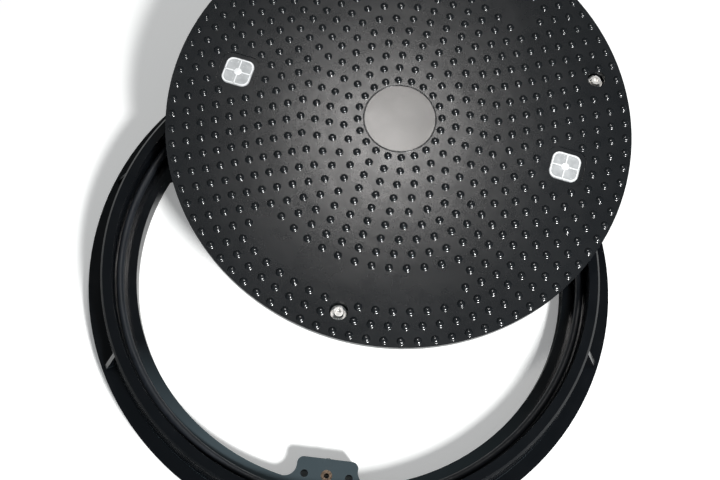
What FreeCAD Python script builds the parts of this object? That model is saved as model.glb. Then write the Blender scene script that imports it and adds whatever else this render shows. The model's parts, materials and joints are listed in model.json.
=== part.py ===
import FreeCAD, Part
import Sketcher
import math
import os

# Round composite manhole cover: a ring frame with a rubber seat seal and three
# screw lugs, and a studded lid that lies part way off the frame.
# The origin is on the ring's axis at the level of the ground under it, +Z is up.
# The lid and what it carries are modelled with the lid's top centre as their own
# origin, then all take the pose in which the lid lies on the rim.

# Driving sizes, in millimetres and degrees
SIZES = {
    # ring frame
    "opening_radius": 300.0,
    "ring_height": 70.0,
    "flange_radius": 367.0,
    "flange_height": 21.5,
    "wall_foot_radius": 348.5,
    "rim_radius": 342.5,
    "rim_inner_radius": 327.4,
    "rim_rounding": 3.0,
    "seat_draft": 0.8,
    "seal_shelf_height": 40.0,
    "step_radius": 314.6,
    "ledge_height": 27.5,
    "mould_wall": 7.0,
    "ledge_wall": 6.0,
    "neck_rebate": 1.0,
    "neck_height": 11.0,
    "gusset_count": 8,
    "gusset_turn": 30.0,
    "gusset_thickness": 6.0,
    "gusset_reach": 363.0,
    "gusset_height": 64.0,
    "cell_rib_count": 24,
    "cell_rib_thickness": 5.0,
    # screw lugs of the ring frame
    "lug_count": 3,
    "lug_width": 81.0,
    "lug_reach": 266.5,
    "lug_thickness": 15.0,
    "lug_corner": 9.0,
    "lug_root": 16.0,
    "lug_hole_radius": 5.0,
    "lug_hole_spacing": 59.0,
    "screw_circle_radius": 288.5,
    "insert_radius": 6.0,
    "insert_bore_radius": 3.4,
    "insert_flange_radius": 7.5,
    "insert_flange_thickness": 1.5,
    # seat seal
    "seal_width": 10.2,
    "seal_height": 8.6,
    # lid
    "lid_radius": 325.0,
    "lid_side_height": 9.0,
    "lid_edge_thickness": 22.0,
    "lid_edge_taper": 3.5,
    "lid_edge_width": 29.0,
    "plate_thickness": 11.0,
    "hub_radius": 35.0,
    "hub_depth": 67.7,
    "rib_end_depth": 50.0,
    "rib_step": 2.0,
    "skirt_radius": 264.0,
    "skirt_depth": 51.5,
    "skirt_wall": 9.0,
    "gusset_depth": 40.0,
    "inner_rib_radius": 95.0,
    "outer_rib_radius": 178.0,
    "rib_thickness": 8.0,
    "rib_count": 12,
    # how the lid lies on the ring frame
    "lid_shift": 201.0,
    "lid_shift_direction": 78.3,
    "lid_turn": -10.3,
    "rest_gap": 0.3,
    # captive screws of the lid
    "screw_radius": 4.0,
    "screw_head_radius": 6.5,
    "screw_head_height": 8.0,
    "screw_head_depth": 3.6,
    "screw_length": 44.0,
    "screw_lift": 11.0,
    "hex_across_corners": 6.9,
    "hex_depth": 4.5,
    "counterbore_radius": 12.5,
    "counterbore_depth": 15.5,
    "boss_radius": 17.0,
    "boss_depth": 41.5,
    "sleeve_radius": 6.5,
    "sleeve_bore_radius": 4.5,
    "sleeve_length": 12.0,
    "clip_pocket_radius": 10.0,
    "clip_radius": 7.6,
    "clip_thickness": 1.2,
    "washer_radius": 10.75,
    "washer_thickness": 1.6,
    "screw_seal_radius": 10.0,
    "screw_seal_bore_radius": 6.0,
    # lifting sockets and their caps
    "socket_radius": 238.0,
    "socket_wall": 5.0,
    "socket_depth": 31.0,
    "socket_floor": 4.0,
    "socket_shelf": 3.5,
    "recess_side": 54.0,
    "recess_corner": 14.0,
    "recess_depth": 1.5,
    "cap_side": 41.0,
    "cap_corner": 11.0,
    "cap_depth": 0.4,
    "cap_height": 13.0,
    "cap_top": 2.5,
    "cap_wall": 2.0,
    "cap_rib": 2.0,
    "cap_clearance": 0.3,
    "gasket_thickness": 2.0,
    "lift_bar_radius": 4.0,
    "lift_bar_length": 46.0,
    "lift_bar_depth": 23.0,
    # play between pieces that move on each other
    "running_gap": 0.3,
}

doc = FreeCAD.newDocument("manhole_cover")
sheet = doc.addObject("Spreadsheet::Sheet", "Sizes")
for row, (alias, number) in enumerate(SIZES.items(), start=1):
    sheet.set(f"A{row}", alias)
    sheet.set(f"B{row}", str(number))
    sheet.setAlias(f"B{row}", alias)
doc.recompute()


class Size:
    """A number together with the sheet expression that gives it."""

    def __init__(self, value, text):
        self.value = value
        self.text = text

    @staticmethod
    def of(thing):
        if isinstance(thing, Size):
            return thing
        return Size(float(thing), f"({float(thing)})")

    def join(self, sign, other, value):
        return Size(value, f"({self.text} {sign} {other.text})")

    def __add__(self, other):
        other = Size.of(other)
        return self.join("+", other, self.value + other.value)

    def __sub__(self, other):
        other = Size.of(other)
        return self.join("-", other, self.value - other.value)

    def __mul__(self, other):
        other = Size.of(other)
        return self.join("*", other, self.value * other.value)

    def __truediv__(self, other):
        other = Size.of(other)
        return self.join("/", other, self.value / other.value)

    def __neg__(self):
        return Size(-self.value, f"(-{self.text})")


def dim(alias):
    """The driving size of that name, read from the sheet."""
    return Size(float(sheet.get(alias)), f"Sizes.{alias}")


ZERO = Size.of(0.0)
OVERCUT = Size.of(2.0)
LUG_ANGLES = [-90.0, 30.0, 150.0]
SOCKET_SIDES = {"left": 180.0, "right": 0.0}

ledge = dim("ledge_height")
ring_top = dim("ring_height")
lid_radius = dim("lid_radius")
plate = dim("plate_thickness")
skirt_radius = dim("skirt_radius")
skirt_inner = skirt_radius - dim("skirt_wall")
edge_inner = lid_radius - dim("lid_edge_width")
half_rib = dim("rib_thickness") / 2
gap = dim("running_gap")


def bind(feature, **sizes):
    """Tie properties of a feature to sheet expressions."""
    for name, size in sizes.items():
        feature.setExpression(name, Size.of(size).text)
    return feature


def move(feature, east=ZERO, north=ZERO, up=ZERO):
    """Tie a feature's position to sheet expressions."""
    for axis, size in (("x", east), ("y", north), ("z", up)):
        feature.setExpression(f"Placement.Base.{axis}", Size.of(size).text)
    return feature


def polar(radius, angle):
    """The two position expressions of a point at a radius and an angle."""
    cosine = math.cos(math.radians(angle))
    sine = math.sin(math.radians(angle))
    return (Size(radius.value * cosine, f"({radius.text} * cos({angle}))"),
            Size(radius.value * sine, f"({radius.text} * sin({angle}))"))


def cylinder(name, radius, length, top, radius_at=ZERO, angle=0.0):
    """An upright cylinder that reaches down from top, off the axis by a polar place."""
    feature = bind(doc.addObject("Part::Cylinder", name), Radius=radius, Height=length)
    east, north = polar(Size.of(radius_at), angle)
    return move(feature, east, north, top - length)


def cut(name, base, tools):
    """The base with all tools taken away."""
    tool = tools[0]
    if len(tools) > 1:
        tool = doc.addObject("Part::Compound", name + "_tools")
        tool.Links = tools
    feature = doc.addObject("Part::Cut", name)
    feature.Base = base
    feature.Tool = tool
    return feature


def fuse(name, shapes):
    """All shapes joined into one solid."""
    feature = doc.addObject("Part::MultiFuse", name)
    feature.Shapes = shapes
    return feature


def origin_part(body, role):
    """A body's own origin plane or axis."""
    return [item for item in body.Origin.OriginFeatures if item.Role == role][0]


def pin_point(sketch, geometry, end, across, up):
    """Hold one end of a sketch edge at a distance across and up from the origin."""
    for kind, axis, size in (("DistanceX", -2, across), ("DistanceY", -1, up)):
        if size.text == ZERO.text:
            sketch.addConstraint(Sketcher.Constraint("PointOnObject", geometry, end, axis))
        elif size.value < 0:
            place = sketch.addConstraint(Sketcher.Constraint(kind, geometry, end, -1, 1, -size.value))
            sketch.setExpression(f"Constraints[{place}]", (-size).text)
        else:
            place = sketch.addConstraint(Sketcher.Constraint(kind, -1, 1, geometry, end, size.value))
            sketch.setExpression(f"Constraints[{place}]", size.text)


def draw_outline(sketch, corners):
    """A closed outline of straight edges through the corners, each tied to the sheet."""
    corners = [(Size.of(across), Size.of(up)) for across, up in corners]
    points = [FreeCAD.Vector(across.value, up.value, 0) for across, up in corners]
    count = len(points)
    for index in range(count):
        sketch.addGeometry(Part.LineSegment(points[index], points[(index + 1) % count]))
    for index in range(count):
        sketch.addConstraint(Sketcher.Constraint("Coincident", index, 2, (index + 1) % count, 1))
        pin_point(sketch, index, 1, *corners[index])


def body_sketch(body, role, name, corners, turn=0.0):
    """A sketch on one of a body's origin planes, turned about the upright axis."""
    sketch = body.newObject("Sketcher::SketchObject", name)
    sketch.AttachmentSupport = [(origin_part(body, role), "")]
    sketch.MapMode = "FlatFace"
    upright = FreeCAD.Vector(0, 1, 0)
    sketch.AttachmentOffset = FreeCAD.Placement(FreeCAD.Vector(), FreeCAD.Rotation(upright, turn))
    draw_outline(sketch, corners)
    return sketch


def revolve(body, name, corners):
    """A full turn of a radial outline about the upright axis."""
    feature = body.newObject("PartDesign::Revolution", name)
    feature.Profile = body_sketch(body, "XZ_Plane", name + "_outline", corners)
    feature.ReferenceAxis = (feature.Profile[0], ["V_Axis"])
    feature.Angle = 360.0
    body.Tip = feature
    return feature


def radial_ribs(body, name, corners, thickness, count, turn=0.0):
    """A flat rib in a radial plane, repeated round the upright axis."""
    rib = body.newObject("PartDesign::Pad", name)
    rib.Profile = body_sketch(body, "XZ_Plane", name + "_outline", corners, turn)
    rib.Midplane = True
    rib.Refine = False
    bind(rib, Length=thickness)
    return ring_of(body, name + "_ring", rib, count)


def ring_of(body, name, feature, count):
    """One feature repeated evenly round the upright axis."""
    pattern = body.newObject("PartDesign::PolarPattern", name)
    pattern.Originals = [feature]
    pattern.Axis = (origin_part(body, "Z_Axis"), [""])
    pattern.Angle = 360.0
    pattern.Refine = False
    bind(pattern, Occurrences=count)
    body.Tip = pattern
    return pattern


def upright_edges(shape, length, radius):
    """Names of the upright straight edges of one length at one distance from the axis."""
    names = []
    for number, edge in enumerate(shape.Edges, start=1):
        middle = edge.BoundBox.Center
        is_upright = edge.BoundBox.XLength < 1e-4 and edge.BoundBox.YLength < 1e-4
        if (is_upright and abs(edge.Length - length) < 1e-3
                and abs(math.hypot(middle.x, middle.y) - radius) < 1e-2):
            names.append(f"Edge{number}")
    return names


def round_edges(body, name, radius, edge_length, edge_radius):
    """Fillet the upright edges at one distance from the axis."""
    doc.recompute()
    base = body.Tip
    feature = body.newObject("PartDesign::Fillet", name)
    feature.Base = (base, upright_edges(base.Shape, edge_length.value, edge_radius))
    bind(feature, Radius=radius)
    body.Tip = feature
    return feature


def rounded_square(name, side, corner, length, top, radius_at=ZERO, angle=0.0):
    """An upright prism with a rounded square section that reaches down from top."""
    outline = doc.addObject("Sketcher::SketchObject", name + "_outline")
    half = side.value / 2
    flat = half - corner.value
    for turn in range(4):
        spin = FreeCAD.Rotation(FreeCAD.Vector(0, 0, 1), 90.0 * turn)
        start = spin.multVec(FreeCAD.Vector(-flat, -half, 0))
        end = spin.multVec(FreeCAD.Vector(flat, -half, 0))
        centre = spin.multVec(FreeCAD.Vector(flat, -flat, 0))
        outline.addGeometry(Part.LineSegment(start, end))
        circle = Part.Circle(centre, FreeCAD.Vector(0, 0, 1), corner.value)
        first = math.radians(-90.0 + 90.0 * turn)
        outline.addGeometry(Part.ArcOfCircle(circle, first, first + math.pi / 2))
    for index in range(8):
        outline.addConstraint(Sketcher.Constraint("Tangent", index, 2, (index + 1) % 8, 1))
    for index in (3, 5, 7):
        outline.addConstraint(Sketcher.Constraint("Equal", 1, index))
    outline.addConstraint(Sketcher.Constraint("Horizontal", 0))
    outline.addConstraint(Sketcher.Constraint("Equal", 0, 2))
    outline.addConstraint(Sketcher.Constraint("Symmetric", 0, 1, 4, 1, -1, 1))
    rounding = outline.addConstraint(Sketcher.Constraint("Radius", 1, corner.value))
    across = outline.addConstraint(Sketcher.Constraint("DistanceY", 0, 1, 4, 1, side.value))
    outline.setExpression(f"Constraints[{rounding}]", corner.text)
    outline.setExpression(f"Constraints[{across}]", side.text)
    prism = doc.addObject("Part::Extrusion", name)
    prism.Base = outline
    prism.DirMode = "Custom"
    prism.Dir = FreeCAD.Vector(0, 0, 1)
    prism.Solid = True
    bind(prism, LengthFwd=length)
    east, north = polar(Size.of(radius_at), angle)
    return move(prism, east, north, top - length)


def ring_frame():
    """The moulded ring: flange, tapered wall, rim, seat, ledge, lugs and hollow underside."""
    wall = dim("mould_wall")
    skin = dim("ledge_wall")
    opening = dim("opening_radius")
    flange = dim("flange_height")
    shelf = dim("seal_shelf_height")
    foot = dim("wall_foot_radius")
    rim = dim("rim_radius")
    rounding = dim("rim_rounding")
    seat_wall = dim("rim_inner_radius") - dim("seat_draft")
    body = doc.addObject("PartDesign::Body", "ring_blank")
    neck = opening + dim("neck_rebate")
    revolve(body, "ring_section", [
        (neck, ZERO),
        (opening + wall, ZERO),
        (opening + wall, ledge - skin),
        (dim("step_radius") + skin, ledge - skin),
        (dim("step_radius") + skin, shelf - skin),
        (foot - wall, shelf - skin),
        (foot - wall, flange - skin),
        (dim("flange_radius") - wall, flange - skin),
        (dim("flange_radius") - wall, ZERO),
        (dim("flange_radius"), ZERO),
        (dim("flange_radius"), flange),
        (foot, flange),
        (rim, ring_top - rounding),
        (rim - rounding, ring_top),
        (dim("rim_inner_radius"), ring_top),
        (seat_wall, shelf),
        (dim("step_radius"), shelf),
        (dim("step_radius"), ledge),
        (opening, ledge),
        (opening, dim("neck_height")),
        (neck, dim("neck_height")),
    ])
    radial_ribs(body, "cell_rib", [
        (neck + 1, ZERO),
        (dim("flange_radius") - 1, ZERO),
        (dim("flange_radius") - 1, flange - 1),
        (foot - 1, flange - 1),
        (foot - 1, shelf - 1),
        (dim("step_radius") + 1, shelf - 1),
        (dim("step_radius") + 1, ledge - 1),
        (neck + 1, ledge - 1),
    ], dim("cell_rib_thickness"), dim("cell_rib_count"))
    radial_ribs(body, "gusset", [
        (foot - wall, flange - 1),
        (dim("gusset_reach"), flange - 1),
        (dim("gusset_reach"), flange + 1),
        (rim, dim("gusset_height")),
        (rim - wall, dim("gusset_height")),
    ], dim("gusset_thickness"), dim("gusset_count"), SIZES["gusset_turn"])
    lug = body.newObject("PartDesign::Pad", "lug")
    half = dim("lug_width") / 2
    lug.Profile = body_sketch(body, "XY_Plane", "lug_outline", [
        (-half, -dim("lug_reach")),
        (-half, -(opening + wall / 2)),
        (half, -(opening + wall / 2)),
        (half, -dim("lug_reach")),
    ])
    thickness = dim("lug_thickness")
    lug.Profile[0].setExpression("AttachmentOffset.Base.z", (ledge - thickness).text)
    bind(lug, Length=thickness)
    ring_of(body, "lug_ring", lug, dim("lug_count"))
    round_edges(body, "lug_corners", dim("lug_corner"), thickness,
                math.hypot(half.value, dim("lug_reach").value))
    round_edges(body, "lug_roots", dim("lug_root"), thickness, opening.value)
    holes = []
    hole_circle = Size(math.hypot(dim("screw_circle_radius").value, dim("lug_hole_spacing").value / 2),
                       "sqrt(Sizes.screw_circle_radius ^ 2 + (Sizes.lug_hole_spacing / 2) ^ 2)")
    spread = math.degrees(math.atan2(dim("lug_hole_spacing").value / 2, dim("screw_circle_radius").value))
    for number, angle in enumerate(LUG_ANGLES, start=1):
        holes.append(cylinder(f"insert_hole_{number}", dim("insert_radius"), thickness + OVERCUT * 2,
                              ledge + OVERCUT, dim("screw_circle_radius"), angle))
        holes.append(cylinder(f"insert_recess_{number}", dim("insert_flange_radius"),
                              dim("insert_flange_thickness") + OVERCUT, ledge + OVERCUT,
                              dim("screw_circle_radius"), angle))
        for side in (-1, 1):
            holes.append(cylinder(f"lug_hole_{number}_{side + 1}", dim("lug_hole_radius"),
                                  thickness + OVERCUT * 2, ledge + OVERCUT,
                                  hole_circle, angle + side * spread))
    return cut("frame_ring", body, holes)


def threaded_inserts():
    """Three flanged inserts, one in each lug."""
    inserts = []
    for number, angle in enumerate(LUG_ANGLES, start=1):
        circle = dim("screw_circle_radius")
        barrel = cylinder(f"insert_barrel_{number}", dim("insert_radius"), dim("lug_thickness"),
                          ledge, circle, angle)
        flange = cylinder(f"insert_flange_{number}", dim("insert_flange_radius"),
                          dim("insert_flange_thickness"), ledge, circle, angle)
        bore = cylinder(f"insert_bore_{number}", dim("insert_bore_radius"),
                        dim("lug_thickness") + OVERCUT * 2, ledge + OVERCUT, circle, angle)
        inserts.append(cut(f"insert_{number}", fuse(f"insert_solid_{number}", [barrel, flange]), [bore]))
    group = doc.addObject("Part::Compound", "threaded_inserts")
    group.Links = inserts
    return group


def seat_seal():
    """A rubber ring with a domed top, on its shelf at the foot of the seat wall."""
    shelf = dim("seal_shelf_height")
    half = dim("seal_width") / 2
    body = doc.addObject("PartDesign::Body", "seat_seal")
    inner = dim("step_radius")
    outer = inner + dim("seal_width")
    spring = shelf + dim("seal_height") - half
    sketch = body.newObject("Sketcher::SketchObject", "seal_outline")
    sketch.AttachmentSupport = [(origin_part(body, "XZ_Plane"), "")]
    sketch.MapMode = "FlatFace"
    corners = [(outer, spring), (outer, shelf), (inner, shelf), (inner, spring)]
    points = [FreeCAD.Vector(across.value, up.value, 0) for across, up in corners]
    for start, end in zip(points, points[1:]):
        sketch.addGeometry(Part.LineSegment(start, end))
    crown = Part.Circle(FreeCAD.Vector(inner.value + half.value, spring.value, 0),
                        FreeCAD.Vector(0, 0, 1), half.value)
    sketch.addGeometry(Part.ArcOfCircle(crown, 0, math.pi))
    for index in (0, 1):
        sketch.addConstraint(Sketcher.Constraint("Coincident", index, 2, index + 1, 1))
    sketch.addConstraint(Sketcher.Constraint("Tangent", 3, 1, 0, 1))
    sketch.addConstraint(Sketcher.Constraint("Tangent", 3, 2, 2, 2))
    pin_point(sketch, 0, 1, *corners[0])
    pin_point(sketch, 1, 1, *corners[1])
    pin_point(sketch, 2, 1, *corners[2])
    sketch.addConstraint(Sketcher.Constraint("Vertical", 2))
    ring = body.newObject("PartDesign::Revolution", "seal_ring")
    ring.Profile = sketch
    ring.ReferenceAxis = (sketch, ["V_Axis"])
    ring.Angle = 360.0
    body.Tip = ring
    return body


def rib_fall():
    """How much the bottom of the radial ribs rises for each millimetre outwards."""
    return (dim("hub_depth") - dim("rib_end_depth")) / skirt_radius


def rib_depth(radius):
    """How deep the radial ribs reach at a radius: deepest at the hub, shallower at the skirt."""
    return dim("hub_depth") - rib_fall() * radius


def ring_rib(radius):
    """The four corners of a ring rib, a step shallower than the radial ribs that cross it."""
    outer = radius + half_rib
    inner = radius - half_rib
    bottom = -(rib_depth(radius) - dim("rib_step"))
    return [(outer, -plate), (outer, bottom), (inner, bottom), (inner, -plate)]


def lid_shell():
    """The lid moulding: top plate, thick edge, skirt, hub, ribs, bosses and sockets."""
    edge = dim("lid_edge_thickness")
    hub = dim("hub_radius")
    body = doc.addObject("PartDesign::Body", "lid_blank")
    revolve(body, "lid_section", [
        (ZERO, ZERO),
        (lid_radius, ZERO),
        (lid_radius, -dim("lid_side_height")),
        (lid_radius - dim("lid_edge_taper"), -edge),
        (edge_inner, -edge),
        (edge_inner, -plate),
        (skirt_radius, -plate),
        (skirt_radius, -dim("skirt_depth")),
        (skirt_inner, -dim("skirt_depth")),
        (skirt_inner, -plate),
        *ring_rib(dim("outer_rib_radius")),
        *ring_rib(dim("inner_rib_radius")),
        (hub, -plate),
        (hub, -dim("hub_depth")),
        (ZERO, -dim("hub_depth")),
    ])
    inset = plate - 1
    mid_skirt = skirt_radius - dim("skirt_wall") / 2
    for name, start, turn in (("long_rib", hub - 1, 0.0),
                              ("short_rib", dim("outer_rib_radius"), 180.0 / SIZES["rib_count"])):
        radial_ribs(body, name, [
            (start, -inset),
            (edge_inner + 1, -inset),
            (edge_inner + 1, -(edge - 1)),
            (mid_skirt, -dim("gusset_depth")),
            (mid_skirt, -rib_depth(mid_skirt)),
            (start, -rib_depth(start)),
        ], dim("rib_thickness"), dim("rib_count"), turn)
    added = [body]
    removed = []
    circle = dim("screw_circle_radius")
    counterbore = dim("counterbore_depth")
    sleeve_end = counterbore + dim("sleeve_length")
    for number, angle in enumerate(LUG_ANGLES, start=1):
        boss_height = dim("boss_depth") - inset
        added.append(cylinder(f"boss_{number}", dim("boss_radius"), boss_height, -inset, circle, angle))
        removed.append(cylinder(f"counterbore_{number}", dim("counterbore_radius"),
                                counterbore + OVERCUT, OVERCUT, circle, angle))
        removed.append(cylinder(f"sleeve_hole_{number}", dim("sleeve_radius"),
                                dim("boss_depth") + OVERCUT, ZERO, circle, angle))
        removed.append(cylinder(f"clip_pocket_{number}", dim("clip_pocket_radius"),
                                dim("boss_depth") - sleeve_end + OVERCUT * 6, -sleeve_end, circle, angle))
    cap_hole = dim("cap_side") + dim("cap_clearance") * 2
    shelf_depth = dim("cap_depth") + dim("cap_height") + dim("running_gap") + dim("gasket_thickness")
    pocket = dim("cap_side") - dim("socket_shelf") * 2
    for side, angle in SOCKET_SIDES.items():
        at = dim("socket_radius")
        added.append(rounded_square(f"socket_block_{side}", cap_hole + dim("socket_wall") * 2,
                                    dim("cap_corner") + dim("socket_wall"),
                                    dim("socket_depth") + dim("socket_floor") - inset,
                                    -inset, at, angle))
        removed.append(rounded_square(f"cap_recess_{side}", dim("recess_side"), dim("recess_corner"),
                                      dim("recess_depth") + OVERCUT, OVERCUT, at, angle))
        removed.append(rounded_square(f"cap_hole_{side}", cap_hole,
                                      dim("cap_corner") + dim("cap_clearance"), shelf_depth,
                                      ZERO, at, angle))
        removed.append(rounded_square(f"key_pocket_{side}", pocket,
                                      dim("cap_corner") - dim("socket_shelf"), dim("socket_depth"),
                                      ZERO, at, angle))
        removed.append(lift_bar_shape(f"lift_bar_hole_{side}", dim("lift_bar_radius"),
                                      dim("lift_bar_length"), at, angle))
    return cut("lid_shell", fuse("lid_solid", added), removed)


def lift_bar_shape(name, radius, length, radius_at, angle):
    """A round bar that lies across a lifting socket."""
    bar = bind(doc.addObject("Part::Cylinder", name), Radius=radius, Height=length)
    bar.Placement = FreeCAD.Placement(FreeCAD.Vector(), FreeCAD.Rotation(FreeCAD.Vector(1, 0, 0), 90))
    east, north = polar(radius_at, angle)
    return move(bar, east, north + length / 2, -dim("lift_bar_depth"))


def key_cap(side, angle):
    """A clear cap: a rounded square cup, upside down, with a cross of ribs inside."""
    at = dim("socket_radius")
    top = -dim("cap_depth")
    outer = rounded_square(f"cap_block_{side}", dim("cap_side"), dim("cap_corner"),
                           dim("cap_height"), top, at, angle)
    hollow = rounded_square(f"cap_hollow_{side}", dim("cap_side") - dim("cap_wall") * 2,
                            dim("cap_corner") - dim("cap_wall"), dim("cap_height"),
                            top - dim("cap_top"), at, angle)
    cup = cut(f"cap_cup_{side}", outer, [hollow])
    east, north = polar(at, angle)
    bars = []
    for name, long, wide in (("cross", dim("cap_side"), dim("cap_rib")),
                             ("along", dim("cap_rib"), dim("cap_side"))):
        inside = dim("cap_wall")
        long = long - inside if name == "cross" else long
        wide = wide - inside if name == "along" else wide
        bar = bind(doc.addObject("Part::Box", f"cap_{name}_{side}"),
                   Length=long, Width=wide, Height=dim("cap_height") - dim("cap_top"))
        move(bar, east - long / 2, north - wide / 2, top - dim("cap_height") + dim("cap_top") / 2)
        bars.append(bar)
    return fuse(f"key_cap_{side}", [cup, *bars])


def cap_gasket(side, angle):
    """A flat rubber gasket on the socket's shelf, under the cap's wall."""
    at = dim("socket_radius")
    top = -(dim("cap_depth") + dim("cap_height") + dim("running_gap"))
    outer = rounded_square(f"gasket_block_{side}", dim("cap_side"), dim("cap_corner"),
                           dim("gasket_thickness"), top, at, angle)
    inner = rounded_square(f"gasket_hole_{side}", dim("cap_side") - dim("socket_shelf") * 2,
                           dim("cap_corner") - dim("socket_shelf"),
                           dim("gasket_thickness") + OVERCUT * 2, top + OVERCUT, at, angle)
    return cut(f"cap_gasket_{side}", outer, [inner])


def lift_bar(side, angle):
    """The steel bar that a lifting key hooks under."""
    bar = doc.addObject("Part::Compound", f"lift_bar_{side}")
    bar.Links = [lift_bar_shape(f"bar_{side}", dim("lift_bar_radius"), dim("lift_bar_length"),
                                dim("socket_radius"), angle)]
    return bar


def lock_screw(number, angle):
    """A captive socket-head screw with its hexagon recess."""
    circle = dim("screw_circle_radius")
    top = -dim("screw_head_depth")
    head = cylinder(f"screw_head_{number}", dim("screw_head_radius"), dim("screw_head_height"),
                    top, circle, angle)
    shank = cylinder(f"screw_shank_{number}", dim("screw_radius"),
                     dim("screw_head_height") + dim("screw_length"), top, circle, angle)
    recess = bind(doc.addObject("Part::Prism", f"screw_hexagon_{number}"),
                  Circumradius=dim("hex_across_corners") / 2, Height=dim("hex_depth") + OVERCUT)
    recess.Polygon = 6
    east, north = polar(circle, angle)
    move(recess, east, north, top - dim("hex_depth"))
    return cut(f"lock_screw_{number}", fuse(f"screw_solid_{number}", [head, shank]), [recess])


def round_washer(name, outer, bore, thickness, top, angle):
    """A flat ring round a screw."""
    circle = dim("screw_circle_radius")
    disc = cylinder(name + "_disc", outer, thickness, top, circle, angle)
    hole = cylinder(name + "_hole", bore, thickness + OVERCUT * 2, top + OVERCUT, circle, angle)
    return cut(name, disc, [hole])


def screw_sleeves():
    """Three steel sleeves moulded into the bosses."""
    sleeves = doc.addObject("Part::Compound", "screw_sleeves")
    sleeves.Links = [round_washer(f"sleeve_{number}", dim("sleeve_radius"), dim("sleeve_bore_radius"),
                                  dim("sleeve_length"), -dim("counterbore_depth"), angle)
                     for number, angle in enumerate(LUG_ANGLES, start=1)]
    return sleeves


def screw_seals():
    """Three rubber rings on the counterbore floors, under the washers."""
    under_head = dim("screw_head_depth") + dim("screw_head_height") + gap
    top = -(under_head + dim("washer_thickness") + gap)
    seals = doc.addObject("Part::Compound", "screw_seals")
    seals.Links = [round_washer(f"seal_{number}", dim("screw_seal_radius"),
                                dim("screw_seal_bore_radius"), top + dim("counterbore_depth"), top, angle)
                   for number, angle in enumerate(LUG_ANGLES, start=1)]
    return seals


def resting_tilt():
    """Tilt at which the deep ribs meet the far rim while the skirt meets it at both sides.

    Returns the tilt in degrees and the height of the lid's top centre over the rim.
    """
    reach = dim("rim_inner_radius").value
    shift = dim("lid_shift").value
    skirt = skirt_radius.value
    depth = dim("skirt_depth").value
    tilt = 0.0
    for _ in range(30):
        sine, cosine = math.sin(tilt), math.cos(tilt)
        far = (reach - shift - dim("hub_depth").value * sine) / (cosine - sine * rib_fall().value)
        far_depth = rib_depth(Size.of(far)).value
        centre = shift + depth * sine
        side = (reach ** 2 - skirt ** 2 - centre ** 2) / (2 * centre * cosine)
        tilt = math.atan2(far_depth - depth, far - side)
    height = depth * math.cos(tilt) - side * math.sin(tilt) + dim("rest_gap").value
    return math.degrees(tilt), height


def lid_pose():
    """The lid's place: shifted off its seat, turned a little, and tilted on the rim."""
    tilt, height = resting_tilt()
    heading = math.radians(dim("lid_shift_direction").value)
    away = FreeCAD.Vector(math.cos(heading), math.sin(heading), 0)
    lean = FreeCAD.Rotation(FreeCAD.Vector(away.y, -away.x, 0), tilt)
    turn = FreeCAD.Rotation(FreeCAD.Vector(0, 0, 1), dim("lid_turn").value)
    place = away * dim("lid_shift").value + FreeCAD.Vector(0, 0, ring_top.value + height)
    return FreeCAD.Placement(place, lean.multiply(turn))


nodes = {
    "frame_ring": ring_frame(),
    "threaded_inserts": threaded_inserts(),
    "seat_seal": seat_seal(),
}
on_lid = {
    "lid_shell": lid_shell(),
    "screw_sleeves": screw_sleeves(),
    "screw_seals": screw_seals(),
}
for side, angle in SOCKET_SIDES.items():
    on_lid[f"key_cap_{side}"] = key_cap(side, angle)
    on_lid[f"cap_gasket_{side}"] = cap_gasket(side, angle)
    on_lid[f"lift_bar_{side}"] = lift_bar(side, angle)
washer_top = -(dim("screw_head_depth") + dim("screw_head_height") + gap)
clip_top = -(dim("counterbore_depth") + dim("sleeve_length") + dim("screw_lift") + gap)
for number, angle in enumerate(LUG_ANGLES, start=1):
    on_lid[f"lock_screw_{number}"] = lock_screw(number, angle)
    on_lid[f"screw_washer_{number}"] = round_washer(
        f"screw_washer_{number}", dim("washer_radius"), dim("screw_radius") + gap,
        dim("washer_thickness"), washer_top, angle)
    on_lid[f"screw_clip_{number}"] = round_washer(
        f"screw_clip_{number}", dim("clip_radius"), dim("screw_radius"),
        dim("clip_thickness"), clip_top, angle)
doc.recompute()

pose = lid_pose()
for feature in on_lid.values():
    feature.Placement = pose.multiply(feature.Placement)
nodes.update(on_lid)
for name, feature in nodes.items():
    feature.Label = name
doc.recompute()

for feature in doc.Objects:
    if {"Invalid", "Error"} & set(feature.State):
        raise RuntimeError(f"{feature.Name} failed: {feature.State}")
for name, feature in nodes.items():
    if feature.Shape.isNull() or not feature.Shape.isValid() or not feature.Shape.Solids:
        raise RuntimeError(f"{name} has no valid solid")

os.makedirs("parts", exist_ok=True)
for name, feature in nodes.items():
    feature.Shape.exportStep(f"parts/{name}.step")
    print(name, len(feature.Shape.Solids), "solids", round(feature.Shape.Volume / 1000, 2), "cm3")
print("lid tilt and height over the rim", resting_tilt())
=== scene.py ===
import json
import math

import bmesh
import bpy
from mathutils import Matrix, Vector


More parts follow.
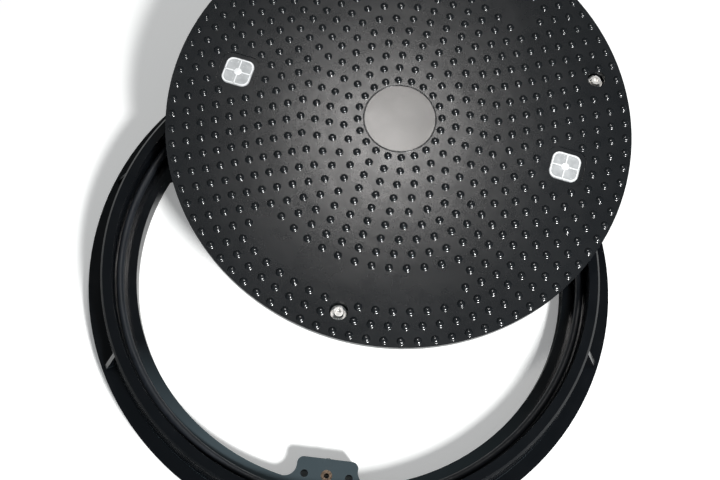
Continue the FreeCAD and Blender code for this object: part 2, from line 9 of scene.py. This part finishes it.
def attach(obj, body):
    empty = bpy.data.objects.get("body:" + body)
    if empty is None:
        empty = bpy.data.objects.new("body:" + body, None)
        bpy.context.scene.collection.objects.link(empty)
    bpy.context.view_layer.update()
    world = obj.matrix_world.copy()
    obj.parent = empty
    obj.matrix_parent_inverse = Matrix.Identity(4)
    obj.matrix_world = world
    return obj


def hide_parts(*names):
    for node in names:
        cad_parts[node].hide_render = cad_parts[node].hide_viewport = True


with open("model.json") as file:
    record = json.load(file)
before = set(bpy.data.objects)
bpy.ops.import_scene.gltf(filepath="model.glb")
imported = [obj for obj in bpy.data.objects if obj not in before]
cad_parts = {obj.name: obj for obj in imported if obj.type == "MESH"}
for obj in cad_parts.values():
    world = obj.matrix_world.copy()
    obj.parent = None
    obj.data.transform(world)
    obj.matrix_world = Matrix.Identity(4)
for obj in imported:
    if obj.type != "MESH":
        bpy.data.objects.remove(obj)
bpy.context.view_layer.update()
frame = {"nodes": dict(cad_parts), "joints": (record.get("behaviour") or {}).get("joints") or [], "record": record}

# Sizes in metres, angles in degrees, power in watts. The lid's own frame has its origin at the
# top centre, its z axis out of the top and its first screw on the negative y axis.
SCREW_CIRCLE = 0.2885
SCREW_ANGLES = (-90.0, 30.0, 150.0)
SCREW_HEAD_DEPTH = 0.0036
COUNTERBORE_RADIUS = 0.0125
SOCKET_CIRCLE = 0.238
RECESS_HALF = 0.027

STUD_PITCH = 0.0198
FIRST_STUD_RING = 0.059
STUDS_PER_RING = [20, 22, 26, 30, 34, 40, 46, 52, 58, 64, 70, 76, 82, 88]
STUD_RADIUS = 0.0047
STUD_HEIGHT = 0.0030
STUD_FOOT = 0.0006
STUD_FLARE = ((1.35, -0.0003), (1.15, 0.0001))
STUD_SIDES = 18
STUD_DOME_STEPS = 5
STUD_TO_SCREW = 0.7
BARE_RINGS = (9, 10)
BARE_HALF_ANGLE = 34.0

CENTRE_RADIUS = 0.0507
CENTRE_LINE_HALF = (0.0010, 0.0005)
CENTRE_LINE_HEIGHT = 0.0004
CENTRE_LINE_SIDES = 128
DISC_GAP = 0.0011
DISC_SIDES = 96
SUNK = 0.0002

CAP_EDGE = 0.0012
CAP_RIB = 0.0008
CAP_RIB_DEPTH = 0.0006
CAP_RIB_HEIGHT = 0.0003
CAP_CORNER = 0.0085
CAP_STAR = 0.0056
CORNER_STEPS = 6
STAR_SIDES = 8

# The ring's inner ledge, with a lighter tone of painted light on its near part, and the place on the floor under
# its near lug, where the floor's glow is taken away as painted shade. The lugs lie at the same angles in the ring
# as the screws do in the lid.
LEDGE = 0.0275
PAINTED_LIGHT_BAND = (0.0008, 0.0020)
PAINTED_LIGHT_FADE = (-0.26, -0.14)
# Painted shade: the floor has no glow round this place under the near lug.
PAINTED_SHADE_CENTRE = (0.0, -0.285, 0.0)
PAINTED_SHADE_HALF = (0.045, 0.018)
PAINTED_SHADE_EDGE = (0.9, 1.0)
PIN_CIRCLE = 0.2720
PIN_PROFILE = ((0.0058, -0.0002), (0.0060, 0.00015), (0.0064, 0.00015), (0.0066, -0.0002))
PIN_SIDES = 40

WELD = 0.000004
FLAT_ANGLE = 0.4
SHARP_ANGLE = 35.0
DISC_SHARP_ANGLE = 10.0
MOULDING_EDGE = 0.0009
CAP_SOFT_EDGE = 0.0007
SCREW_EDGE = 0.0003
WASHER_EDGE = 0.0002
EDGE_SEGMENTS = 2

FLOOR_HALF = 6.0
FLOOR_COLOUR = (0.90, 0.91, 0.90, 1.0)
FLOOR_ROUGHNESS = 0.8
FLOOR_GLOW = 0.25
WORLD_COLOUR = (0.84, 0.94, 1.0, 1.0)
WORLD_STRENGTH = 0.13
SOFTBOX = {"at": (0.010, 0.850, 2.00), "aim": (0.04, 0.20, 0.12), "size": (0.34, 0.28),
           "power": 8.6, "colour": (1.0, 0.97, 0.95)}
KEY = {"at": (1.16, -1.56, 1.90), "aim": (0.0, 0.0, 0.0), "size": (0.40, 0.40),
       "power": 100.0, "colour": (1.0, 1.0, 1.0)}
CAMERA_AT = (-0.0029, -0.4812, 1.3920)
CAMERA_TURN = (20.933, -2.870, 6.430)
CAMERA_LENS = 51.25
CAMERA_SENSOR = 36.0
CAMERA_CLIP = (0.05, 50.0)


def lid_frame():
    """The lid's own frame, read from the three screw joints."""
    turns = [joint for joint in frame["joints"] if joint["name"].endswith("_turn")]
    places = {joint["name"]: Vector(joint["pos_m"]) for joint in turns}
    normal = Vector(turns[0]["axis"]).normalized()
    middle = sum(places.values(), Vector()) / len(places)
    north = (middle - places["screw_1_turn"]).normalized()
    east = north.cross(normal).normalized()
    turn = Matrix((east, north, normal)).transposed().to_4x4()
    return Matrix.Translation(middle + normal * SCREW_HEAD_DEPTH) @ turn


LID = lid_frame()


# Materials

def new_material(name):
    """An empty node material with its shader and output."""
    material = bpy.data.materials.new(name)
    material.use_nodes = True
    tree = material.node_tree
    tree.nodes.clear()
    output = tree.nodes.new("ShaderNodeOutputMaterial")
    shader = tree.nodes.new("ShaderNodeBsdfPrincipled")
    tree.links.new(shader.outputs[0], output.inputs["Surface"])
    return material, tree, shader


def own_place(tree):
    """The piece's own coordinates."""
    return tree.nodes.new("ShaderNodeTexCoord").outputs["Object"]


def noise(tree, scale, detail):
    """Noise in the piece's own coordinates."""
    texture = tree.nodes.new("ShaderNodeTexNoise")
    texture.inputs["Scale"].default_value = scale
    texture.inputs["Detail"].default_value = detail
    tree.links.new(own_place(tree), texture.inputs["Vector"])
    return texture.outputs["Fac"]


def between(tree, value, low, high, start=0.3, end=0.7):
    """A value spread between low and high."""
    spread = tree.nodes.new("ShaderNodeMapRange")
    for name, number in (("From Min", start), ("From Max", end), ("To Min", low), ("To Max", high)):
        spread.inputs[name].default_value = number
    tree.links.new(value, spread.inputs["Value"])
    return spread.outputs["Result"]


def product(tree, first, second):
    """The product of two values."""
    node = tree.nodes.new("ShaderNodeMath")
    node.operation = "MULTIPLY"
    tree.links.new(first, node.inputs[0])
    tree.links.new(second, node.inputs[1])
    return node.outputs[0]


def blend_colours(tree, value, first, second):
    """A colour between two, by a value from 0 to 1. The first may be the output of a node."""
    mix = tree.nodes.new("ShaderNodeMix")
    mix.data_type = "RGBA"
    if isinstance(first, tuple):
        mix.inputs[6].default_value = (*first, 1.0)
    else:
        tree.links.new(first, mix.inputs[6])
    mix.inputs[7].default_value = (*second, 1.0)
    tree.links.new(value, mix.inputs[0])
    return mix.outputs[2]


def bump(tree, shader, layers):
    """Fine relief from (height value, distance) layers."""
    normal = None
    for value, distance in layers:
        relief = tree.nodes.new("ShaderNodeBump")
        relief.inputs["Strength"].default_value = 1.0
        relief.inputs["Distance"].default_value = distance
        tree.links.new(value, relief.inputs["Height"])
        if normal is not None:
            tree.links.new(normal, relief.inputs["Normal"])
        normal = relief.outputs["Normal"]
    tree.links.new(normal, shader.inputs["Normal"])


def painted_light_on_near_ledge(tree):
    """Mask of painted light: 1 on the near part of the ring's inner ledge and its near lug, 0 elsewhere, by height
    and place.
    """
    split = tree.nodes.new("ShaderNodeSeparateXYZ")
    tree.links.new(own_place(tree), split.inputs["Vector"])
    inner, outer = PAINTED_LIGHT_BAND
    over = between(tree, split.outputs["Z"], 0.0, 1.0, LEDGE - outer, LEDGE - inner)
    under = between(tree, split.outputs["Z"], 1.0, 0.0, LEDGE + inner, LEDGE + outer)
    near = between(tree, split.outputs["Y"], 1.0, 0.0, *PAINTED_LIGHT_FADE)
    return product(tree, product(tree, over, under), near)


def moulded(name, dark, light, rough, grain, ledge_painted_light=None, specular=0.5):
    """Moulded composite: cloudy tone, uneven gloss and a fine grain. The near part of the ledge may get a lighter
    tone of painted light.
    """
    material, tree, shader = new_material(name)
    clouds = noise(tree, scale=7.0, detail=5.0)
    colour = blend_colours(tree, between(tree, clouds, 0.0, 1.0), dark, light)
    # Painted light: the near ledge and lug are blended towards a lighter tone.
    if ledge_painted_light is not None:
        colour = blend_colours(tree, painted_light_on_near_ledge(tree), colour, ledge_painted_light)
    tree.links.new(colour, shader.inputs["Base Color"])
    patches = noise(tree, scale=38.0, detail=6.0)
    tree.links.new(between(tree, patches, *rough), shader.inputs["Roughness"])
    shader.inputs["Specular IOR Level"].default_value = specular
    waves = noise(tree, scale=14.0, detail=3.0)
    bump(tree, shader, [(waves, 0.0006), (noise(tree, scale=700.0, detail=4.0), grain)])
    return material


def rubber(name, dark, light, rough):
    """Dull rubber with faint smears."""
    material, tree, shader = new_material(name)
    smears = noise(tree, scale=26.0, detail=6.0)
    colour = blend_colours(tree, between(tree, smears, 0.0, 1.0), dark, light)
    tree.links.new(colour, shader.inputs["Base Color"])
    patches = noise(tree, scale=90.0, detail=4.0)
    tree.links.new(between(tree, patches, *rough), shader.inputs["Roughness"])
    bump(tree, shader, [(noise(tree, scale=1300.0, detail=3.0), 0.00003)])
    return material


def metal(name, base, stain, rough):
    """Turned metal with stains and a fine grain."""
    material, tree, shader = new_material(name)
    shader.inputs["Metallic"].default_value = 1.0
    stains = noise(tree, scale=240.0, detail=5.0)
    colour = blend_colours(tree, between(tree, stains, 0.0, 1.0, 0.42, 0.72), base, stain)
    tree.links.new(colour, shader.inputs["Base Color"])
    patches = noise(tree, scale=420.0, detail=5.0)
    tree.links.new(between(tree, patches, *rough), shader.inputs["Roughness"])
    bump(tree, shader, [(noise(tree, scale=2600.0, detail=2.0), 0.00002)])
    return material


def clear_plastic(name, dark, light, rough):
    """Frosty, partly clear plastic with a cloudy tone."""
    material, tree, shader = new_material(name)
    shader.inputs["IOR"].default_value = 1.46
    shader.inputs["Transmission Weight"].default_value = 0.35
    cloudy = noise(tree, scale=95.0, detail=4.0)
    colour = blend_colours(tree, between(tree, cloudy, 0.0, 1.0), dark, light)
    tree.links.new(colour, shader.inputs["Base Color"])
    patches = noise(tree, scale=160.0, detail=3.0)
    tree.links.new(between(tree, patches, *rough), shader.inputs["Roughness"])
    bump(tree, shader, [(noise(tree, scale=210.0, detail=3.0), 0.0002)])
    return material


LID_TONES = {"dark": (0.0045, 0.0056, 0.0068), "light": (0.0080, 0.0094, 0.0110)}
MATERIALS = {
    "lid": moulded("lid_composite", **LID_TONES, rough=(0.25, 0.30), grain=0.00003),
    "stud": moulded("stud_composite", **LID_TONES, rough=(0.19, 0.23), grain=0.000001, specular=1.0),
    # The centre disc's pale, warm tone: partly its own finish, partly painted highlight from the top softbox.
    "centre": moulded("disc_composite_painted_highlight", dark=(0.050, 0.048, 0.045), light=(0.064, 0.061, 0.057),
                      rough=(0.238, 0.258), grain=0.00002),
    # The ring's ledge tone is painted light on its near ledge and lug.
    "frame": moulded("ring_composite", dark=(0.0015, 0.0021, 0.0030), light=(0.0034, 0.0044, 0.0058),
                     rough=(0.17, 0.24), grain=0.00003, ledge_painted_light=(0.044, 0.060, 0.068), specular=0.36),
    "rubber": rubber("seal_rubber", dark=(0.006, 0.008, 0.011), light=(0.012, 0.015, 0.020),
                     rough=(0.42, 0.58)),
    "brass": metal("insert_brass", base=(0.40, 0.29, 0.21), stain=(0.16, 0.12, 0.09), rough=(0.22, 0.45)),
    "steel": metal("plain_steel", base=(0.52, 0.52, 0.51), stain=(0.33, 0.32, 0.30), rough=(0.30, 0.50)),
    "screw_steel": metal("turned_steel", base=(0.92, 0.91, 0.89), stain=(0.74, 0.72, 0.68),
                         rough=(0.38, 0.48)),
    "clear": clear_plastic("cap_plastic", dark=(0.58, 0.60, 0.61), light=(0.80, 0.82, 0.83),
                           rough=(0.12, 0.30)),
    "cap_rib": moulded("frosted_ribs", dark=(0.88, 0.90, 0.91), light=(0.97, 0.98, 0.98),
                       rough=(0.18, 0.30), grain=0.00002),
}


# Pieces

def link(name, mesh, place, body, slot, look=None):
    """A finished piece, riding on a body. Its look is the slot's unless named.

    The mesh comes in the frame of its place. Its turn goes into the mesh, so that the box of
    the piece lies along the object's own axes."""
    mesh.transform(place.to_3x3().to_4x4())
    piece = bpy.data.objects.new(name, mesh)
    bpy.context.scene.collection.objects.link(piece)
    piece.matrix_world = Matrix.Translation(place.to_translation())
    mesh.materials.clear()
    mesh.materials.append(MATERIALS[look or slot])
    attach(piece, body)
    return piece


def soft_edges(node, name, place, body, slot, width):
    """A copy of a CAD node with its sharp edges rounded, shown in place of the node."""
    work = bmesh.new()
    work.from_mesh(frame["nodes"][node].data)
    bmesh.ops.transform(work, matrix=place.inverted(), verts=work.verts)
    bmesh.ops.remove_doubles(work, verts=work.verts, dist=WELD)
    bmesh.ops.dissolve_limit(work, angle_limit=math.radians(FLAT_ANGLE), verts=work.verts, edges=work.edges)
    sharp = [e for e in work.edges if e.is_manifold and e.calc_face_angle() > math.radians(SHARP_ANGLE)]
    bmesh.ops.bevel(work, geom=sharp, offset=width, offset_type="OFFSET", segments=EDGE_SEGMENTS,
                    profile=0.5, affect="EDGES", clamp_overlap=True)
    for face in work.faces:
        face.smooth = True
    mesh = bpy.data.meshes.new(name)
    work.to_mesh(mesh)
    work.free()
    piece = link(name, mesh, place, body, slot)
    mesh.set_sharp_from_angle(angle=math.radians(SHARP_ANGLE))
    weight = piece.modifiers.new("even_normals", "WEIGHTED_NORMAL")
    weight.keep_sharp = True
    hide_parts(node)


def join_loops(work, lower, upper):
    """A band of faces between two closed loops of vertices. An upper loop of one closes to a point."""
    for k in range(len(lower)):
        after = (k + 1) % len(lower)
        if len(upper) == 1:
            work.faces.new((lower[k], lower[after], upper[0]))
        else:
            work.faces.new((lower[k], lower[after], upper[after], upper[k]))


def turned(work, profile, centre, steps):
    """A small turned form of (radius, height) points, added to a mesh; a radius of 0 closes it."""
    rings = []
    for radius, height in profile:
        if radius == 0.0:
            rings.append([work.verts.new(centre + Vector((0.0, 0.0, height)))])
            continue
        rings.append([work.verts.new(centre + Vector((radius * math.cos(2 * math.pi * k / steps),
                                                      radius * math.sin(2 * math.pi * k / steps), height)))
                      for k in range(steps)])
    for lower, upper in zip(rings, rings[1:]):
        join_loops(work, lower, upper)


def finish_mesh(work, name):
    """The mesh of a bmesh, with its faces turned outwards and smooth."""
    bmesh.ops.recalc_face_normals(work, faces=work.faces)
    for face in work.faces:
        face.smooth = True
    mesh = bpy.data.meshes.new(name)
    work.to_mesh(mesh)
    work.free()
    return mesh


def on_circle(radius, angle):
    """A point of a circle round the origin."""
    return radius * math.cos(math.radians(angle)), radius * math.sin(math.radians(angle))


def stud_places():
    """Where the studs of the lid stand: clear of the screws, the key recesses and two bare bands."""
    screws = [on_circle(SCREW_CIRCLE, angle) for angle in SCREW_ANGLES]
    keep = COUNTERBORE_RADIUS + STUD_RADIUS * STUD_TO_SCREW
    recess = RECESS_HALF + STUD_RADIUS
    places = []
    for ring, count in enumerate(STUDS_PER_RING):
        for step in range(count):
            angle = -90.0 + 360.0 * step / count
            x, y = on_circle(FIRST_STUD_RING + STUD_PITCH * ring, angle)
            from_side = min(abs((angle - side + 180.0) % 360.0 - 180.0) for side in (90.0, 270.0))
            if ring in BARE_RINGS and from_side < BARE_HALF_ANGLE:
                continue
            if any(math.hypot(x - screw_x, y - screw_y) < keep for screw_x, screw_y in screws):
                continue
            if abs(abs(x) - SOCKET_CIRCLE) < recess and abs(y) < recess:
                continue
            places.append(Vector((x, y, 0.0)))
    return places


def add_studs():
    """The studs of the lid: small domes that flow out of the surface."""
    work = bmesh.new()
    profile = [(STUD_RADIUS * share, height) for share, height in STUD_FLARE]
    profile.append((STUD_RADIUS, STUD_FOOT))
    for step in range(1, STUD_DOME_STEPS):
        turn = math.radians(90.0 / STUD_DOME_STEPS * step)
        profile.append((STUD_RADIUS * math.cos(turn), STUD_FOOT + (STUD_HEIGHT - STUD_FOOT) * math.sin(turn)))
    profile.append((0.0, STUD_HEIGHT))
    for place in stud_places():
        turned(work, profile, place, STUD_SIDES)
    link("lid_studs", finish_mesh(work, "lid_studs"), LID, "lid", "lid", "stud")


def add_centre_line():
    """The thin raised line round the smooth disc in the middle of the lid."""
    work = bmesh.new()
    foot, top = CENTRE_LINE_HALF
    profile = [(CENTRE_RADIUS - foot, -SUNK), (CENTRE_RADIUS - top, CENTRE_LINE_HEIGHT),
               (CENTRE_RADIUS + top, CENTRE_LINE_HEIGHT), (CENTRE_RADIUS + foot, -SUNK)]
    turned(work, profile, Vector(), CENTRE_LINE_SIDES)
    link("lid_centre_line", finish_mesh(work, "lid_centre_line"), LID, "lid", "lid")


def add_centre_disc():
    """The smooth face of the disc, a hair over the lid's surface. Its paler, warm tone is partly its own finish
    and partly painted highlight from the top softbox.
    """
    work = bmesh.new()
    edge = CENTRE_RADIUS - DISC_GAP
    profile = [(edge, -0.0002), (edge, 0.0001), (edge - 0.0003, 0.0002), (edge * 0.6, 0.0002), (0.0, 0.0002)]
    turned(work, profile, Vector(), DISC_SIDES)
    mesh = finish_mesh(work, "lid_centre_disc")
    mesh.set_sharp_from_angle(angle=math.radians(DISC_SHARP_ANGLE))
    link("lid_centre_disc", mesh, LID, "lid", "lid", "centre")


def rounded_square(work, middle, half, height):
    """A loop of vertices along a rounded square, lying flat."""
    loop = []
    for quarter in range(4):
        corner = math.radians(45.0 + 90.0 * quarter)
        centre_x = middle + math.copysign(half - CAP_CORNER, math.cos(corner))
        centre_y = math.copysign(half - CAP_CORNER, math.sin(corner))
        for step in range(CORNER_STEPS + 1):
            turn = math.radians(90.0 * quarter + 90.0 * step / CORNER_STEPS)
            x = centre_x + CAP_CORNER * math.cos(turn)
            y = centre_y + CAP_CORNER * math.sin(turn)
            loop.append(work.verts.new((x, y, height)))
    return loop


def add_cap_ribs(side):
    """The frosted edge and star of a cap, a hair over its top."""
    corners = [LID.inverted() @ vertex.co for vertex in frame["nodes"][f"key_cap_{side}"].data.vertices]
    top = max(corner.z for corner in corners)
    middle = (max(c.x for c in corners) + min(c.x for c in corners)) / 2.0
    half = (max(c.x for c in corners) - min(c.x for c in corners)) / 2.0
    reach = half - CAP_EDGE
    work = bmesh.new()
    for half_x, half_y in ((reach, CAP_RIB), (CAP_RIB, reach)):
        size = Matrix.Diagonal((2 * half_x, 2 * half_y, CAP_RIB_DEPTH, 1.0))
        bmesh.ops.create_cube(work, size=1.0, matrix=Matrix.Translation((middle, 0.0, top)) @ size)
    inner = reach - 2 * CAP_RIB
    loops = [rounded_square(work, middle, size, top + lift)
             for size, lift in ((reach, -SUNK), (reach, CAP_RIB_HEIGHT), (inner, CAP_RIB_HEIGHT), (inner, -SUNK))]
    for lower, upper in zip(loops, loops[1:]):
        join_loops(work, lower, upper)
    star = [(CAP_STAR, -SUNK), (CAP_STAR, CAP_RIB_HEIGHT), (CAP_STAR * 0.55, 0.0007), (0.0, 0.0008)]
    turned(work, star, Vector((middle, 0.0, top)), STAR_SIDES)
    mesh = finish_mesh(work, f"cap_{side}_ribs")
    mesh.set_sharp_from_angle(angle=math.radians(SHARP_ANGLE))
    link(f"cap_{side}_ribs", mesh, LID, f"cap_{side}", "clear", "cap_rib")


def add_pin_marks():
    """Round marks that the mould's pins leave on the lugs."""
    work = bmesh.new()
    for angle in SCREW_ANGLES:
        turned(work, PIN_PROFILE, Vector((*on_circle(PIN_CIRCLE, angle), LEDGE)), PIN_SIDES)
    link("pin_marks", finish_mesh(work, "pin_marks"), Matrix(), "ring", "frame")


soft_edges("lid_shell", "lid_moulding", LID, "lid", "lid", MOULDING_EDGE)
soft_edges("frame_ring", "ring_moulding", Matrix(), "ring", "frame", MOULDING_EDGE)
add_studs()
add_centre_line()
add_centre_disc()
add_pin_marks()
for side in ("left", "right"):
    soft_edges(f"key_cap_{side}", f"cap_{side}_clear", LID, f"cap_{side}", "clear", CAP_SOFT_EDGE)
    add_cap_ribs(side)
for number in (1, 2, 3):
    soft_edges(f"lock_screw_{number}", f"screw_{number}_turned", LID, f"screw_{number}",
               "screw_steel", SCREW_EDGE)
    soft_edges(f"screw_washer_{number}", f"washer_{number}_turned", LID, f"washer_{number}",
               "screw_steel", WASHER_EDGE)

NODE_SLOTS = {item["node"]: item["material_slot"] for item in frame["record"]["subparts"]}
for name, node in frame["nodes"].items():
    node.data.materials.clear()
    node.data.materials.append(MATERIALS[NODE_SLOTS[name]])
    for polygon in node.data.polygons:
        polygon.use_smooth = True
    node.data.set_sharp_from_angle(angle=math.radians(SHARP_ANGLE))


# Floor, light and camera

def outside_painted_lug_shade(tree):
    """0 on the floor under the near lug, where painted shade stands, and 1 elsewhere."""
    value = own_place(tree)
    scale = (1.0 / PAINTED_SHADE_HALF[0], 1.0 / PAINTED_SHADE_HALF[1], 0.0)
    for operation, amount in (("SUBTRACT", PAINTED_SHADE_CENTRE), ("MULTIPLY", scale)):
        step = tree.nodes.new("ShaderNodeVectorMath")
        step.operation = operation
        step.inputs[1].default_value = amount
        tree.links.new(value, step.inputs[0])
        value = step.outputs["Vector"]
    reach = tree.nodes.new("ShaderNodeVectorMath")
    reach.operation = "LENGTH"
    tree.links.new(value, reach.inputs[0])
    return between(tree, reach.outputs["Value"], 0.0, 1.0, *PAINTED_SHADE_EDGE)


def add_floor():
    """A pale floor that keeps the object's shadow. It has no glow under the near lug's holes: painted shade, so
    that the holes look dark.
    """
    mesh = bpy.data.meshes.new("floor")
    work = bmesh.new()
    bmesh.ops.create_grid(work, x_segments=1, y_segments=1, size=FLOOR_HALF)
    work.to_mesh(mesh)
    work.free()
    floor = bpy.data.objects.new("floor", mesh)
    bpy.context.scene.collection.objects.link(floor)
    material, tree, shader = new_material("pale_floor")
    shader.inputs["Base Color"].default_value = FLOOR_COLOUR
    shader.inputs["Roughness"].default_value = FLOOR_ROUGHNESS
    shader.inputs["Emission Color"].default_value = (1.0, 1.0, 1.0, 1.0)
    camera_ray = tree.nodes.new("ShaderNodeLightPath").outputs["Is Camera Ray"]
    glow = between(tree, camera_ray, 0.0, FLOOR_GLOW, 0.0, 1.0)
    # Painted shade: the glow is cut under the near lug.
    tree.links.new(product(tree, glow, outside_painted_lug_shade(tree)), shader.inputs["Emission Strength"])
    mesh.materials.append(material)


def add_lamp(name, at, aim, size, power, colour):
    """A soft area lamp that points at a place."""
    lamp = bpy.data.lights.new(name, "AREA")
    lamp.shape = "RECTANGLE"
    lamp.size, lamp.size_y = size
    lamp.energy = power
    lamp.color = colour
    piece = bpy.data.objects.new(name, lamp)
    bpy.context.scene.collection.objects.link(piece)
    piece.location = at
    piece.rotation_mode = "QUATERNION"
    piece.rotation_quaternion = (Vector(aim) - Vector(at)).to_track_quat("-Z", "Y")


def add_light_and_camera():
    """Soft studio light, and the camera at the photograph's viewing angle."""
    world = bpy.data.worlds.new("studio")
    world.use_nodes = True
    background = world.node_tree.nodes["Background"]
    background.inputs["Color"].default_value = WORLD_COLOUR
    background.inputs["Strength"].default_value = WORLD_STRENGTH
    bpy.context.scene.world = world
    add_lamp("top_softbox", **SOFTBOX)
    add_lamp("near_key", **KEY)
    camera = bpy.data.cameras.new("camera")
    camera.lens = CAMERA_LENS
    camera.sensor_width = CAMERA_SENSOR
    camera.clip_start, camera.clip_end = CAMERA_CLIP
    piece = bpy.data.objects.new("camera", camera)
    bpy.context.scene.collection.objects.link(piece)
    piece.location = CAMERA_AT
    piece.rotation_euler = [math.radians(angle) for angle in CAMERA_TURN]
    bpy.context.scene.camera = piece
    bpy.context.scene.view_settings.view_transform = "Standard"


add_floor()
add_light_and_camera()

bpy.context.view_layer.update()
